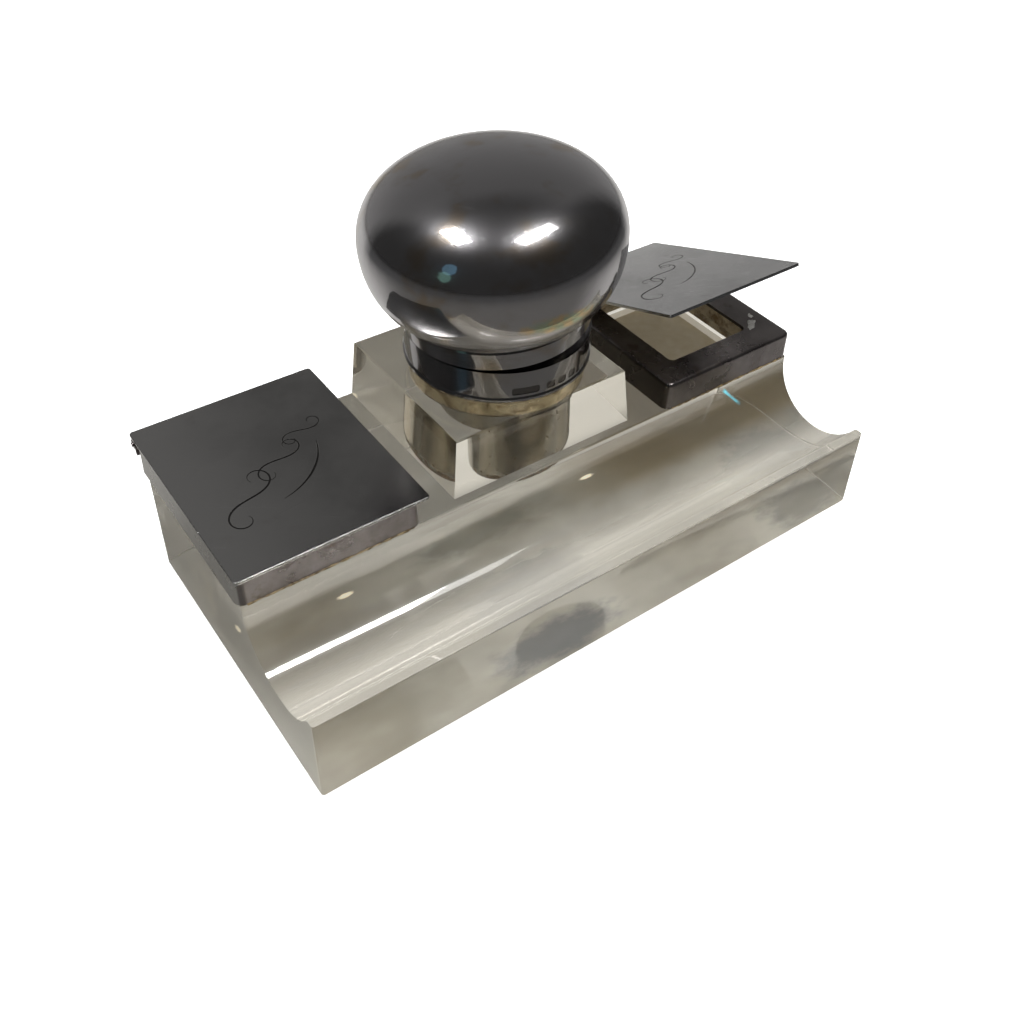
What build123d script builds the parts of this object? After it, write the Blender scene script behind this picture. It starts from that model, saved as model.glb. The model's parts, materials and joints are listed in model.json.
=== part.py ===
from build123d import *

import math
import os

# Desk inkstand: a glass block with a pen trough, a square tower with the ink well under a bulbous
# hinged lid, and a framed stamp well with a flat hinged lid on each side.
# Millimetres. Origin: centre of the underside of the glass. +X right, -Y front (pen trough), +Z up.

# ---- driving dimensions: glass block ----
BLOCK_LENGTH = 152.8        # at the top face, six inches
BLOCK_DEPTH = 75.5          # at the top face, three inches
BLOCK_HEIGHT = 29.0
FRONT_DRAFT = 0.04          # outward lean of each face, mm per mm going down
END_DRAFT = 0.026
BACK_DRAFT = 0.02
CORNER_ROUNDING = 0.8       # upright outer edges of the block
FOOT_ROUNDING = 0.4
LIP_HEIGHT = 22.3           # front lip of the pen trough
TROUGH_RADIUS = 13.8
TROUGH_AXIS_Y = -23.55
TROUGH_AXIS_Z = 28.8
LIP_ROUNDING = 0.8
EDGE_ROUNDING = 0.4         # edges of the tower's top
TROUGH_ROUNDING = 0.4       # edges where the trough meets the top and the ends

# ---- driving dimensions: tower and ink well ----
TOWER_WIDTH = 46.4          # at the tower's top
TOWER_TOP = 43.35
TOWER_FRONT_Y = -5.75       # at the tower's top
TOWER_DRAFT = 0.11
WELL_X = 0.45               # axis of the ink well, collar and lid
WELL_Y = 13.25
WELL_RADIUS = 13.7
WELL_FLOOR = 20.6
WELL_CORNER = 4.0
NECK_RADIUS = 19.6
NECK_TOP = 54.2
SHOULDER_RADIUS = 20.4      # plain part of the neck, below the collar
SHOULDER_TOP = 47.6
SHOULDER_ROUNDING = 0.7

# ---- driving dimensions: collar and ink lid ----
SHEET = 0.9                 # thickness of the turned and raised metal
COLLAR_RADIUS = 20.95
COLLAR_BOTTOM = 48.0
COLLAR_TOP = 55.3
COLLAR_FOOT = 0.35          # how far the rolled foot stands proud
COLLAR_FOOT_HEIGHT = 0.9
MOUTH_RADIUS = 16.3
BAND_BOTTOM = 55.42
BEAD_BOTTOM = 58.4
BEAD_TOP = 59.9
BEAD_PROUD = 0.35
BAND_LEDGE = 1.0            # how far the band's top turns in to carry the dome
DOME_RADIUS = 28.3
DOME_EQUATOR = 74.9
DOME_UPPER = 15.7           # height of the dome above its equator
DOME_FULLNESS = 0.64        # handle length of the upper quarter; 0.55 would be an ellipse
DOME_WAIST_HANDLE = 7.4     # how far the side stays upright below the equator
DOME_FOOT_RADIUS = 20.65
DOME_FOOT_LEAN = 29.0       # degrees above level at which the bulb leaves its foot
DOME_FOOT_HANDLE = 5.4
LINER_THICKNESS = 0.6
LINER_BOTTOM = 56.2
LINER_RING_RADIUS = 15.8
LINER_RING_BOTTOM = 54.35
LID_LEAN = 5.4              # degrees to the left: the lid sits askew, its left side down on the collar

# ---- driving dimensions: ink lid hinge ----
INK_AXIS_Y = WELL_Y + 22.9
INK_AXIS_Z = 55.36
INK_KNUCKLE_RADIUS = 1.6
INK_PIN_RADIUS = 0.7
INK_HINGE_LENGTH = 16.0
INK_MOVING_LENGTH = 6.0
INK_LEAF_HEIGHT = 3.0       # of the fixed half's block
INK_LEAF_REACH = 4.0        # how far inside the collar's outline the blocks are started
INK_TAB_TOP = 59.1          # of the moving half's tab, which reaches up to the leaning band

# ---- driving dimensions: stamp boxes (given for the right side, mirrored for the left) ----
FRAME_INNER_X = 34.7        # at the frame's foot
FRAME_OUTER_X = 77.0
FRAME_FRONT_Y = -9.9
FRAME_BACK_Y = 39.7
FRAME_TOP = 36.1
FRAME_LEAN = 0.35           # how far each wall leans in by its top
FRAME_SHEET = 0.8
FRAME_CORNER = 2.2
FRAME_EDGE = 0.9
OPENING_INNER_X = 42.3
OPENING_OUTER_X = 68.0
OPENING_FRONT_Y = -2.2
OPENING_BACK_Y = 29.65
STAMP_FLOOR = 27.0
STAMP_CORNER = 3.0
BOSS_WALL = 2.4
BOSS_TOP = 32.0
LID_THICKNESS = 0.7
LID_GAP = 0.05              # between the frame's top and a shut lid
LID_FRONT_Y = -10.7
LID_BACK_Y = 42.7
LID_CORNER = 0.8
LID_EDGE = 0.15
LEFT_LID_INNER_X = 32.9
RIGHT_LID_INNER_X = 34.4
LID_OUTER_X = 76.9
STAMP_AXIS_Y = 41.0
STAMP_AXIS_Z = 34.8         # the barrel hides under the back of the lid
KNUCKLE_RADIUS = 1.15
PIN_RADIUS = 0.5
KNUCKLE_COUNT = 5           # three on the frame, two on the lid
LEAF_THICKNESS = 0.55       # of the strip on the frame
LID_LEAF_BOTTOM = 34.9      # the strip that joins the lid's knuckles, along its back edge
LID_TAB_HALF = 0.8          # half the depth of the tab between each of those knuckles and the lid
LEAF_BOTTOM = 30.6
RIGHT_LID_AJAR = 20.4       # degrees open at rest

# ---- driving dimensions: decoration ----
SCROLL_LENGTH = 13.0        # of the longest scroll, between the eyes of its two spirals
SCROLLS = ((-11.5, 1.0, 18.0), (1.5, 0.8, 4.0), (12.0, 0.62, -8.0))     # (place, size, turn)
SCROLL_TAIL = ((-9.0, -6.6), (-2.0, -8.4), (5.0, -7.4), (10.0, -4.6))
SCROLL_TURN = 5.2           # radians that each spiral turns through
SCROLL_SLANT = 36.5         # degrees from the lid's front edge
STROKE_WIDE = 0.5
STROKE_FINE = 0.16
STROKE_SAMPLES = 28
SCROLL_DEPTH = 0.12
PUNCH_DEPTH = 0.12
PUNCH_HEIGHT = 1.8
PUNCH_ROUNDING = 0.5
PUNCH_RISE = 2.4            # of the punches' middle above the collar's foot
PUNCHES = ((-18.0, 6.2), (-1.8, 2.2), (7.0, 2.2), (15.5, 2.2))   # (degrees from the front, width)

# ---- construction ----
OVERLAP = 1.0               # how far a cutting solid runs past what it cuts
NEAR = 0.1                  # how close an edge lies to a named height to be picked

# ---- fits ----
RUNNING_GAP = 0.03          # radial gap between a pin and its bores
END_GAP = 0.08              # gap between the ends of neighbouring knuckles
SEAT_GAP = 0.02             # gap between two seated pieces
SWING_GAP = 0.15            # gap round a knuckle that turns
PIN_PROUD = 0.25            # how far each hinge pin stands out at its ends


def drum(radius, bottom, top):
    """Solid cylinder on the ink well's axis."""
    height = top - bottom
    return Pos(WELL_X, WELL_Y, bottom + height / 2) * Cylinder(radius, height)


def ring(outer, inner, bottom, top):
    """Round tube on the ink well's axis."""
    return drum(outer, bottom, top) - drum(inner, bottom - OVERLAP, top + OVERLAP)


def slab(x0, x1, y0, y1, z0, z1):
    """Box given by its lowest and highest corners."""
    centre = Pos((x0 + x1) / 2, (y0 + y1) / 2, (z0 + z1) / 2)
    return centre * Box(abs(x1 - x0), abs(y1 - y0), abs(z1 - z0))


def rounded_slab(x0, x1, y0, y1, z0, z1, corner):
    """Box with rounded upright corners."""
    outline = RectangleRounded(abs(x1 - x0), abs(y1 - y0), corner)
    return extrude(Pos((x0 + x1) / 2, (y0 + y1) / 2, z0) * outline, z1 - z0)


def tapered_slab(x0, x1, y0, y1, z0, z1, corner, lean):
    """Box with rounded upright corners whose walls lean in by lean at its top."""
    width = abs(x1 - x0)
    depth = abs(y1 - y0)
    centre = Pos((x0 + x1) / 2, (y0 + y1) / 2, 0)
    foot = Pos(0, 0, z0) * centre * RectangleRounded(width, depth, corner)
    top = Pos(0, 0, z1) * centre * RectangleRounded(width - 2 * lean, depth - 2 * lean, corner - lean)
    return loft([foot, top])


def drafted_slab(half_x, front_y, back_y, z0, z1, end_draft, front_draft, back_draft):
    """Block whose walls lean outwards going down. The sizes are those at its top, z1."""
    drop = z1 - z0
    foot_half_x = half_x + drop * end_draft
    foot_front_y = front_y - drop * front_draft
    foot_back_y = back_y + drop * back_draft
    top = Pos(0, (front_y + back_y) / 2, z1) * Rectangle(2 * half_x, back_y - front_y)
    foot_depth = foot_back_y - foot_front_y
    foot = Pos(0, (foot_front_y + foot_back_y) / 2, z0) * Rectangle(2 * foot_half_x, foot_depth)
    return loft([foot, top])


def across(radius, x0, x1, y, z):
    """Round bar along X."""
    return Pos((x0 + x1) / 2, y, z) * Rot(0, 90, 0) * Cylinder(radius, abs(x1 - x0))


def turned(points):
    """Solid of revolution about the ink well's axis, from closed (radius, height) corner points."""
    outline = make_face(Polyline(*points, close=True))
    return Pos(WELL_X, WELL_Y, 0) * revolve(Plane.XZ * outline, Axis.Z)


# ---- glass ----

def trough_cutter():
    """Everything above the front lip and inside the round of the pen trough."""
    beyond = BLOCK_DEPTH
    over = BLOCK_HEIGHT + OVERLAP
    reach = math.sqrt(TROUGH_RADIUS ** 2 - (TROUGH_AXIS_Z - LIP_HEIGHT) ** 2)
    back = (TROUGH_AXIS_Y + TROUGH_RADIUS, TROUGH_AXIS_Z)
    low = (TROUGH_AXIS_Y, TROUGH_AXIS_Z - TROUGH_RADIUS)
    front = (TROUGH_AXIS_Y - reach, LIP_HEIGHT)
    outline = ThreePointArc(front, low, back)
    outline += Polyline(back, (back[0], over), (-beyond, over), (-beyond, LIP_HEIGHT), front)
    return extrude(Plane.YZ * make_face(outline), BLOCK_LENGTH, both=True)


def ink_well_cutter():
    """Straight round well with a rounded foot and an open mouth."""
    bore = drum(WELL_RADIUS, WELL_FLOOR, NECK_TOP + OVERLAP)
    foot_edge = bore.edges().group_by(Axis.Z)[0]
    return fillet(foot_edge, WELL_CORNER)


def neck():
    """Glass neck: a plain stem on the tower, then a smaller end that carries the collar."""
    buried = TOWER_TOP - OVERLAP
    inner = SHOULDER_RADIUS - SHOULDER_ROUNDING
    start = SHOULDER_TOP - SHOULDER_ROUNDING
    middle = SHOULDER_ROUNDING * math.sqrt(0.5)
    side = Polyline((0, buried), (SHOULDER_RADIUS, buried), (SHOULDER_RADIUS, start))
    side += ThreePointArc((SHOULDER_RADIUS, start), (inner + middle, start + middle), (inner, SHOULDER_TOP))
    side += Polyline(
        (inner, SHOULDER_TOP), (NECK_RADIUS, SHOULDER_TOP),
        (NECK_RADIUS, NECK_TOP), (0, NECK_TOP), (0, buried),
    )
    return Pos(WELL_X, WELL_Y, 0) * revolve(Plane.XZ * make_face(side), Axis.Z)


def stamp_well(side, z0, z1, grow, corner):
    """Upright block over one stamp well's opening. side is 1 for the right, -1 for the left."""
    return rounded_slab(
        side * (OPENING_INNER_X - grow), side * (OPENING_OUTER_X + grow),
        OPENING_FRONT_Y - grow, OPENING_BACK_Y + grow, z0, z1, corner,
    )


def glass_base():
    """Block with its trough, with the ground edges eased."""
    half_depth = BLOCK_DEPTH / 2
    base = drafted_slab(
        BLOCK_LENGTH / 2, -half_depth, half_depth, 0, BLOCK_HEIGHT, END_DRAFT, FRONT_DRAFT, BACK_DRAFT,
    )
    uprights = base.edges().filter_by(lambda edge: edge.bounding_box().size.Z > BLOCK_HEIGHT / 2)
    base = fillet(uprights, CORNER_ROUNDING)
    base = fillet(base.edges().group_by(Axis.Z)[0], FOOT_ROUNDING)
    base -= trough_cutter()
    lip = base.edges().filter_by(Axis.X).filter_by_position(Axis.Z, LIP_HEIGHT - NEAR, LIP_HEIGHT + NEAR)
    base = fillet(lip, LIP_ROUNDING)
    back_y = TROUGH_AXIS_Y + TROUGH_RADIUS
    back = base.edges().filter_by(Axis.X).filter_by_position(Axis.Y, back_y - NEAR, back_y + NEAR)
    back = back.filter_by_position(Axis.Z, BLOCK_HEIGHT - NEAR, BLOCK_HEIGHT + NEAR)
    return fillet(back, TROUGH_ROUNDING)


def glass_block():
    tower_back = BLOCK_DEPTH / 2 - (TOWER_TOP - BLOCK_HEIGHT) * BACK_DRAFT
    tower = drafted_slab(
        TOWER_WIDTH / 2, TOWER_FRONT_Y, tower_back,
        BLOCK_HEIGHT, TOWER_TOP, TOWER_DRAFT, TOWER_DRAFT, BACK_DRAFT,
    )
    glass = glass_base() + tower
    rims = glass.edges().filter_by_position(Axis.Z, TOWER_TOP - NEAR, TOWER_TOP + NEAR)
    glass = fillet(rims, EDGE_ROUNDING)
    glass += neck()
    for side in (-1, 1):
        glass += stamp_well(side, BLOCK_HEIGHT - OVERLAP, BOSS_TOP, BOSS_WALL, STAMP_CORNER + BOSS_WALL)
        glass -= stamp_well(side, STAMP_FLOOR, BOSS_TOP + OVERLAP, 0, STAMP_CORNER)
    glass -= ink_well_cutter()
    return glass


# ---- ink collar and lid ----

def ink_collar():
    """Collar with a rolled foot and an inward rim that covers the neck."""
    inner = COLLAR_RADIUS - SHEET
    foot_radius = COLLAR_RADIUS + COLLAR_FOOT
    foot_top = COLLAR_BOTTOM + COLLAR_FOOT_HEIGHT
    collar = turned([
        (inner, COLLAR_BOTTOM), (foot_radius, COLLAR_BOTTOM), (foot_radius, foot_top - COLLAR_FOOT),
        (COLLAR_RADIUS, foot_top), (COLLAR_RADIUS, COLLAR_TOP), (MOUTH_RADIUS, COLLAR_TOP),
        (MOUTH_RADIUS, COLLAR_TOP - SHEET), (inner, COLLAR_TOP - SHEET),
    ])
    return collar - punches()


def punches():
    """Four small blank punch marks, a long one and three short, on the front of the collar."""
    cutters = []
    for angle, width in PUNCHES:
        mark = Pos(0, -COLLAR_RADIUS, COLLAR_BOTTOM + PUNCH_RISE) * Box(width, 1, PUNCH_HEIGHT)
        mark = fillet(mark.edges().filter_by(Axis.Y), PUNCH_ROUNDING)
        cutters.append(Pos(WELL_X, WELL_Y, 0) * Rot(0, 0, angle) * mark)
    return Part() + cutters - drum(COLLAR_RADIUS - PUNCH_DEPTH, COLLAR_BOTTOM, COLLAR_TOP)


def ink_collar_cement():
    return ring(
        COLLAR_RADIUS - SHEET - SEAT_GAP, NECK_RADIUS + SEAT_GAP,
        COLLAR_BOTTOM, COLLAR_TOP - SHEET - SEAT_GAP,
    )


def bulb(thickness):
    """Solid bulb that stands on the bead, smaller than the dome's outside by a wall thickness."""
    radius = DOME_RADIUS - thickness
    upper = DOME_UPPER - thickness
    start_radius = DOME_FOOT_RADIUS - thickness
    crown = (0, DOME_EQUATOR + upper)
    equator = (radius, DOME_EQUATOR)
    start = (start_radius, BEAD_TOP)
    lean = math.radians(DOME_FOOT_LEAN)
    curve = Bezier(
        start,
        (start_radius + DOME_FOOT_HANDLE * math.cos(lean), BEAD_TOP + DOME_FOOT_HANDLE * math.sin(lean)),
        (radius, DOME_EQUATOR - DOME_WAIST_HANDLE),
        equator,
    )
    curve += Bezier(
        equator, (radius, DOME_EQUATOR + upper * DOME_FULLNESS), (radius * DOME_FULLNESS, crown[1]), crown,
    )
    side = Polyline(crown, (0, BEAD_TOP), start)
    return Pos(WELL_X, WELL_Y, 0) * revolve(Plane.XZ * make_face(curve + side), Axis.Z)


def ink_lid_dome():
    """Hollow raised shell that stands on the band's bead."""
    return bulb(0) - bulb(SHEET)


def ink_lid_band():
    """Lower ring of the lid, with a raised bead along its top."""
    inner = COLLAR_RADIUS - SHEET
    bead = COLLAR_RADIUS + BEAD_PROUD
    slope = BEAD_PROUD
    return turned([
        (inner, BAND_BOTTOM), (COLLAR_RADIUS, BAND_BOTTOM), (COLLAR_RADIUS, BEAD_BOTTOM - slope),
        (bead, BEAD_BOTTOM), (bead, BEAD_TOP - slope), (COLLAR_RADIUS, BEAD_TOP),
        (inner - BAND_LEDGE, BEAD_TOP), (inner - BAND_LEDGE, BEAD_TOP - SHEET), (inner, BEAD_TOP - SHEET),
    ])


def ink_lid_liner():
    """Plate that closes the lid from below, with the ring that centres it in the mouth."""
    plate_radius = COLLAR_RADIUS - SHEET - SEAT_GAP
    plate = drum(plate_radius, LINER_BOTTOM, LINER_BOTTOM + LINER_THICKNESS)
    locator = ring(LINER_RING_RADIUS, LINER_RING_RADIUS - SHEET, LINER_RING_BOTTOM, LINER_BOTTOM)
    return plate + locator


def leaning(piece):
    """The lid's turned pieces are drawn upright, then lean over about the foot of the band's left side."""
    pivot_x = WELL_X - COLLAR_RADIUS
    return Pos(pivot_x, 0, BAND_BOTTOM) * Rot(0, -LID_LEAN, 0) * Pos(-pivot_x, 0, -BAND_BOTTOM) * piece


def ink_leaf(low, high):
    """Block from inside the turned metal to the hinge axis, before the metal is cut out of it."""
    half = INK_HINGE_LENGTH / 2
    start = WELL_Y + COLLAR_RADIUS - INK_LEAF_REACH
    return slab(WELL_X - half, WELL_X + half, start, INK_AXIS_Y, low, high)


def ink_knuckle_spans():
    """(start, end, turns with the lid) of each knuckle along the hinge."""
    half = INK_HINGE_LENGTH / 2
    moving = INK_MOVING_LENGTH / 2
    spans = ((-half, -moving, False), (-moving, moving, True), (moving, half, False))
    return [(WELL_X + start, WELL_X + end, turns) for start, end, turns in spans]


def ink_hinge_half(turns, leaf):
    """One half of the ink hinge: its leaf, its own knuckles, and room for the other half's knuckles."""
    half = leaf
    for start, end, moving in ink_knuckle_spans():
        if moving == turns:
            half += across(INK_KNUCKLE_RADIUS, start + END_GAP / 2, end - END_GAP / 2, INK_AXIS_Y, INK_AXIS_Z)
        else:
            half -= across(INK_KNUCKLE_RADIUS + SWING_GAP, start - END_GAP / 2, end + END_GAP / 2,
                           INK_AXIS_Y, INK_AXIS_Z)
    reach = 2 * INK_HINGE_LENGTH
    return half - across(INK_PIN_RADIUS + RUNNING_GAP, -reach, reach, INK_AXIS_Y, INK_AXIS_Z)


def ink_collar_knuckles():
    top = INK_AXIS_Z - SWING_GAP
    leaf = ink_leaf(top - INK_LEAF_HEIGHT, top) - drum(COLLAR_RADIUS + SEAT_GAP, COLLAR_BOTTOM, BAND_BOTTOM)
    return ink_hinge_half(False, leaf)


def ink_lid_knuckle():
    """Moving half: its tab reaches up the back of the leaning band, to just under the bead."""
    leaf = ink_leaf(BAND_BOTTOM + LID_GAP, INK_TAB_TOP)
    leaf -= leaning(drum(COLLAR_RADIUS + SEAT_GAP, BAND_BOTTOM - INK_LEAF_HEIGHT, BEAD_TOP))
    return ink_hinge_half(True, leaf)


def ink_hinge_pin():
    half = INK_HINGE_LENGTH / 2 + PIN_PROUD
    return across(INK_PIN_RADIUS, WELL_X - half, WELL_X + half, INK_AXIS_Y, INK_AXIS_Z)


# ---- stamp boxes ----

def stamp_frame(side):
    """Folded metal frame: an outer wall and a flat top with the opening in it."""
    shell = tapered_slab(
        side * FRAME_INNER_X, side * FRAME_OUTER_X, FRAME_FRONT_Y, FRAME_BACK_Y,
        BLOCK_HEIGHT + SEAT_GAP, FRAME_TOP, FRAME_CORNER, FRAME_LEAN,
    )
    shell = fillet(shell.edges().group_by(Axis.Z)[-1], FRAME_EDGE)
    shell -= frame_filling(side, BLOCK_HEIGHT + SEAT_GAP, FRAME_TOP - FRAME_SHEET, 0)
    return shell - stamp_well(side, BLOCK_HEIGHT, FRAME_TOP + OVERLAP, 0, STAMP_CORNER / 2)


def frame_filling(side, z0, z1, gap):
    """The hollow under the frame's sheet."""
    inset = FRAME_SHEET + gap
    inner = FRAME_INNER_X + inset
    outer = FRAME_OUTER_X - inset
    return tapered_slab(
        side * inner, side * outer, FRAME_FRONT_Y + inset, FRAME_BACK_Y - inset,
        z0, z1, FRAME_CORNER - FRAME_SHEET, FRAME_LEAN,
    )


def frame_bedding(side):
    """Plaster that beds the frame on the glass round the raised rim of the stamp well."""
    filling = frame_filling(side, BLOCK_HEIGHT + SEAT_GAP, FRAME_TOP - FRAME_SHEET - SEAT_GAP, SEAT_GAP)
    boss = BOSS_WALL + SEAT_GAP
    filling -= stamp_well(side, BLOCK_HEIGHT - OVERLAP, BOSS_TOP + SEAT_GAP, boss, STAMP_CORNER + boss)
    behind = BLOCK_DEPTH / 2 - FRAME_SHEET
    filling -= slab(-BLOCK_LENGTH, BLOCK_LENGTH, behind, BLOCK_DEPTH, 0, BLOCK_HEIGHT + OVERLAP)
    return filling - stamp_well(side, BLOCK_HEIGHT, FRAME_TOP, 0, STAMP_CORNER)


def knuckle_spans(side):
    """(start, end, turns with the lid) of each knuckle of a stamp hinge, from the middle outwards."""
    step = (FRAME_OUTER_X - FRAME_INNER_X) / KNUCKLE_COUNT
    spans = []
    for index in range(KNUCKLE_COUNT):
        start = FRAME_INNER_X + index * step
        spans.append((side * start, side * (start + step), index % 2 == 1))
    return spans


def span_limits(start, end):
    """A knuckle's ends in rising order, with the end gap taken off."""
    return min(start, end) + END_GAP / 2, max(start, end) - END_GAP / 2


def stamp_bore():
    return across(PIN_RADIUS + RUNNING_GAP, -BLOCK_LENGTH, BLOCK_LENGTH, STAMP_AXIS_Y, STAMP_AXIS_Z)


def frame_knuckles(side):
    """Strip soldered on the frame's back wall, with the three fixed knuckles."""
    strip_top = STAMP_AXIS_Z - KNUCKLE_RADIUS - SWING_GAP
    strip_back = FRAME_BACK_Y + LEAF_THICKNESS
    inset = FRAME_CORNER
    piece = slab(
        side * (FRAME_INNER_X + inset), side * (FRAME_OUTER_X - inset),
        FRAME_BACK_Y + SEAT_GAP, strip_back, LEAF_BOTTOM, strip_top,
    )
    for start, end, moving in knuckle_spans(side):
        if moving:
            continue
        low, high = span_limits(start, end)
        piece += across(KNUCKLE_RADIUS, low, high, STAMP_AXIS_Y, STAMP_AXIS_Z)
        piece += slab(low, high, FRAME_BACK_Y + SEAT_GAP, strip_back, strip_top - OVERLAP, STAMP_AXIS_Z)
    return piece - stamp_bore()


def stamp_lid(side, inner_x):
    """Flat lid plate with the scrolls engraved on it."""
    bottom = FRAME_TOP + LID_GAP
    plate = rounded_slab(
        side * inner_x, side * LID_OUTER_X, LID_FRONT_Y, LID_BACK_Y,
        bottom, bottom + LID_THICKNESS, LID_CORNER,
    )
    plate = fillet(plate.edges().group_by(Axis.Z)[-1], LID_EDGE)
    centre_x = side * (inner_x + LID_OUTER_X) / 2
    centre_y = (LID_FRONT_Y + LID_BACK_Y) / 2
    place = Pos(centre_x, centre_y, bottom + LID_THICKNESS - SCROLL_DEPTH) * Rot(0, 0, SCROLL_SLANT)
    for stroke in scroll_strokes():
        plate -= place * extrude(stroke, 2 * SCROLL_DEPTH)
    return plate


def spiral_line(length):
    """S-shaped curve with a spiral at each end, whose bend grows evenly from its middle."""
    bend = 2 * math.pi / length ** 2
    reach = math.sqrt(2 * SCROLL_TURN / bend)
    count = 14
    fine = 20
    step = reach / (count * fine)
    points = [(0.0, 0.0)]
    x = y = 0.0
    for index in range(count * fine):
        travel = (index + 0.5) * step
        heading = bend * travel ** 2 / 2 - math.pi / 4
        x += step * math.cos(heading)
        y += step * math.sin(heading)
        if (index + 1) % fine == 0:
            points.append((x, y))
    return Spline(*[(-x, -y) for x, y in reversed(points[1:])], *points)


def swelling_stroke(line, wide):
    """Outline of an engraved stroke that is widest in its middle and fine at both ends."""
    left, right = [], []
    for index in range(STROKE_SAMPLES + 1):
        along = index / STROKE_SAMPLES
        middle = line @ along
        heading = line % along
        half = (STROKE_FINE + (wide - STROKE_FINE) * math.sin(math.pi * along)) / 2
        left.append((middle.X - heading.Y * half, middle.Y + heading.X * half))
        right.append((middle.X + heading.Y * half, middle.Y - heading.X * half))
    outline = Spline(*left) + Spline(*right)
    outline += [Line(left[0], right[0]), Line(left[-1], right[-1])]
    return make_face(outline)


def scroll_strokes():
    """A row of three plain scrolls, each smaller than the last, over one long tail."""
    strokes = []
    for centre, size, turn in SCROLLS:
        scroll = swelling_stroke(spiral_line(size * SCROLL_LENGTH), size * STROKE_WIDE)
        strokes.append(Pos(centre, 0) * Rot(0, 0, turn) * scroll)
    strokes.append(swelling_stroke(Spline(*SCROLL_TAIL), STROKE_WIDE))
    return strokes


def lid_knuckles(side):
    """The lid's two knuckles and the strip along its back edge that joins them, soldered under the plate."""
    top = FRAME_TOP + LID_GAP - SEAT_GAP
    strip_front = STAMP_AXIS_Y + KNUCKLE_RADIUS + SWING_GAP
    inset = FRAME_CORNER
    piece = slab(
        side * (FRAME_INNER_X + inset), side * (FRAME_OUTER_X - inset),
        strip_front, LID_BACK_Y, LID_LEAF_BOTTOM, top,
    )
    for start, end, moving in knuckle_spans(side):
        if not moving:
            continue
        low, high = span_limits(start, end)
        piece += across(KNUCKLE_RADIUS, low, high, STAMP_AXIS_Y, STAMP_AXIS_Z)
        piece += slab(low, high, STAMP_AXIS_Y - LID_TAB_HALF, LID_BACK_Y, LID_LEAF_BOTTOM, top)
    return piece - stamp_bore()


def stamp_hinge_pin(side):
    return across(
        PIN_RADIUS, side * (FRAME_INNER_X - PIN_PROUD), side * (FRAME_OUTER_X + PIN_PROUD),
        STAMP_AXIS_Y, STAMP_AXIS_Z,
    )


def right_lid_at_rest(piece):
    """The right lid is drawn shut and rests ajar, turned back about its hinge."""
    hinge = Pos(0, STAMP_AXIS_Y, STAMP_AXIS_Z)
    return hinge * Rot(-RIGHT_LID_AJAR, 0, 0) * Pos(0, -STAMP_AXIS_Y, -STAMP_AXIS_Z) * piece


nodes = {
    "glass_block": glass_block(),
    "ink_collar": ink_collar(),
    "ink_collar_cement": ink_collar_cement(),
    "ink_collar_knuckles": ink_collar_knuckles(),
    "ink_hinge_pin": ink_hinge_pin(),
    "ink_lid_band": leaning(ink_lid_band()),
    "ink_lid_dome": leaning(ink_lid_dome()),
    "ink_lid_liner": leaning(ink_lid_liner()),
    "ink_lid_knuckle": ink_lid_knuckle(),
    "left_frame": stamp_frame(-1),
    "left_frame_bedding": frame_bedding(-1),
    "left_frame_knuckles": frame_knuckles(-1),
    "left_hinge_pin": stamp_hinge_pin(-1),
    "left_stamp_lid": stamp_lid(-1, LEFT_LID_INNER_X),
    "left_lid_knuckles": lid_knuckles(-1),
    "right_frame": stamp_frame(1),
    "right_frame_bedding": frame_bedding(1),
    "right_frame_knuckles": frame_knuckles(1),
    "right_hinge_pin": stamp_hinge_pin(1),
    "right_stamp_lid": right_lid_at_rest(stamp_lid(1, RIGHT_LID_INNER_X)),
    "right_lid_knuckles": right_lid_at_rest(lid_knuckles(1)),
}

os.makedirs("parts", exist_ok=True)
for name, shape in nodes.items():
    export_step(shape, f"parts/{name}.step")
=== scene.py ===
import json
import math
import random

import bmesh
import bpy
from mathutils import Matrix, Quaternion, Vector


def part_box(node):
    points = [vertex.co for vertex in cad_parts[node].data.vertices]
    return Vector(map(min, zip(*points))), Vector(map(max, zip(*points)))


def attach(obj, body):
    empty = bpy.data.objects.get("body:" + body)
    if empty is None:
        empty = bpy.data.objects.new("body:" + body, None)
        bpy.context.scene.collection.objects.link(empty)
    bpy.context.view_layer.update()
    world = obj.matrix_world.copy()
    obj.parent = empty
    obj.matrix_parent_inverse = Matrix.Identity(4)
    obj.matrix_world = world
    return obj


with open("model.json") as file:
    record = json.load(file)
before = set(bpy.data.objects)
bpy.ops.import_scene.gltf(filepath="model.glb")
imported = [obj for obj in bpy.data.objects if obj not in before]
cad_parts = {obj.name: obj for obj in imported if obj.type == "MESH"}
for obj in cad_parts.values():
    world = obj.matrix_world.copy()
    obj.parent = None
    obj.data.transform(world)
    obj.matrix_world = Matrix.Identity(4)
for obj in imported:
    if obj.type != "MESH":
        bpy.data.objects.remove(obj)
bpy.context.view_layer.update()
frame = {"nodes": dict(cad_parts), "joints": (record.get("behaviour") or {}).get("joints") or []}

MM = 0.001

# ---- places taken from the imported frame, in metres ----
COLLAR_LOW, COLLAR_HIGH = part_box("ink_collar")
LEFT_FRAME_LOW, LEFT_FRAME_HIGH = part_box("left_frame")
RIGHT_FRAME_LOW, RIGHT_FRAME_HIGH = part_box("right_frame")
LEFT_LID_LOW, LEFT_LID_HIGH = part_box("left_stamp_lid")
WELL_AXIS = (COLLAR_LOW + COLLAR_HIGH) / 2
COLLAR_FOOT = COLLAR_LOW.z
HINGES = {joint["name"]: joint for joint in frame["joints"]}
LID_FACE = LEFT_LID_HIGH.z - HINGES["left_lid_hinge"]["pos_m"][2]     # lid's top face above its hinge axis

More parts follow.
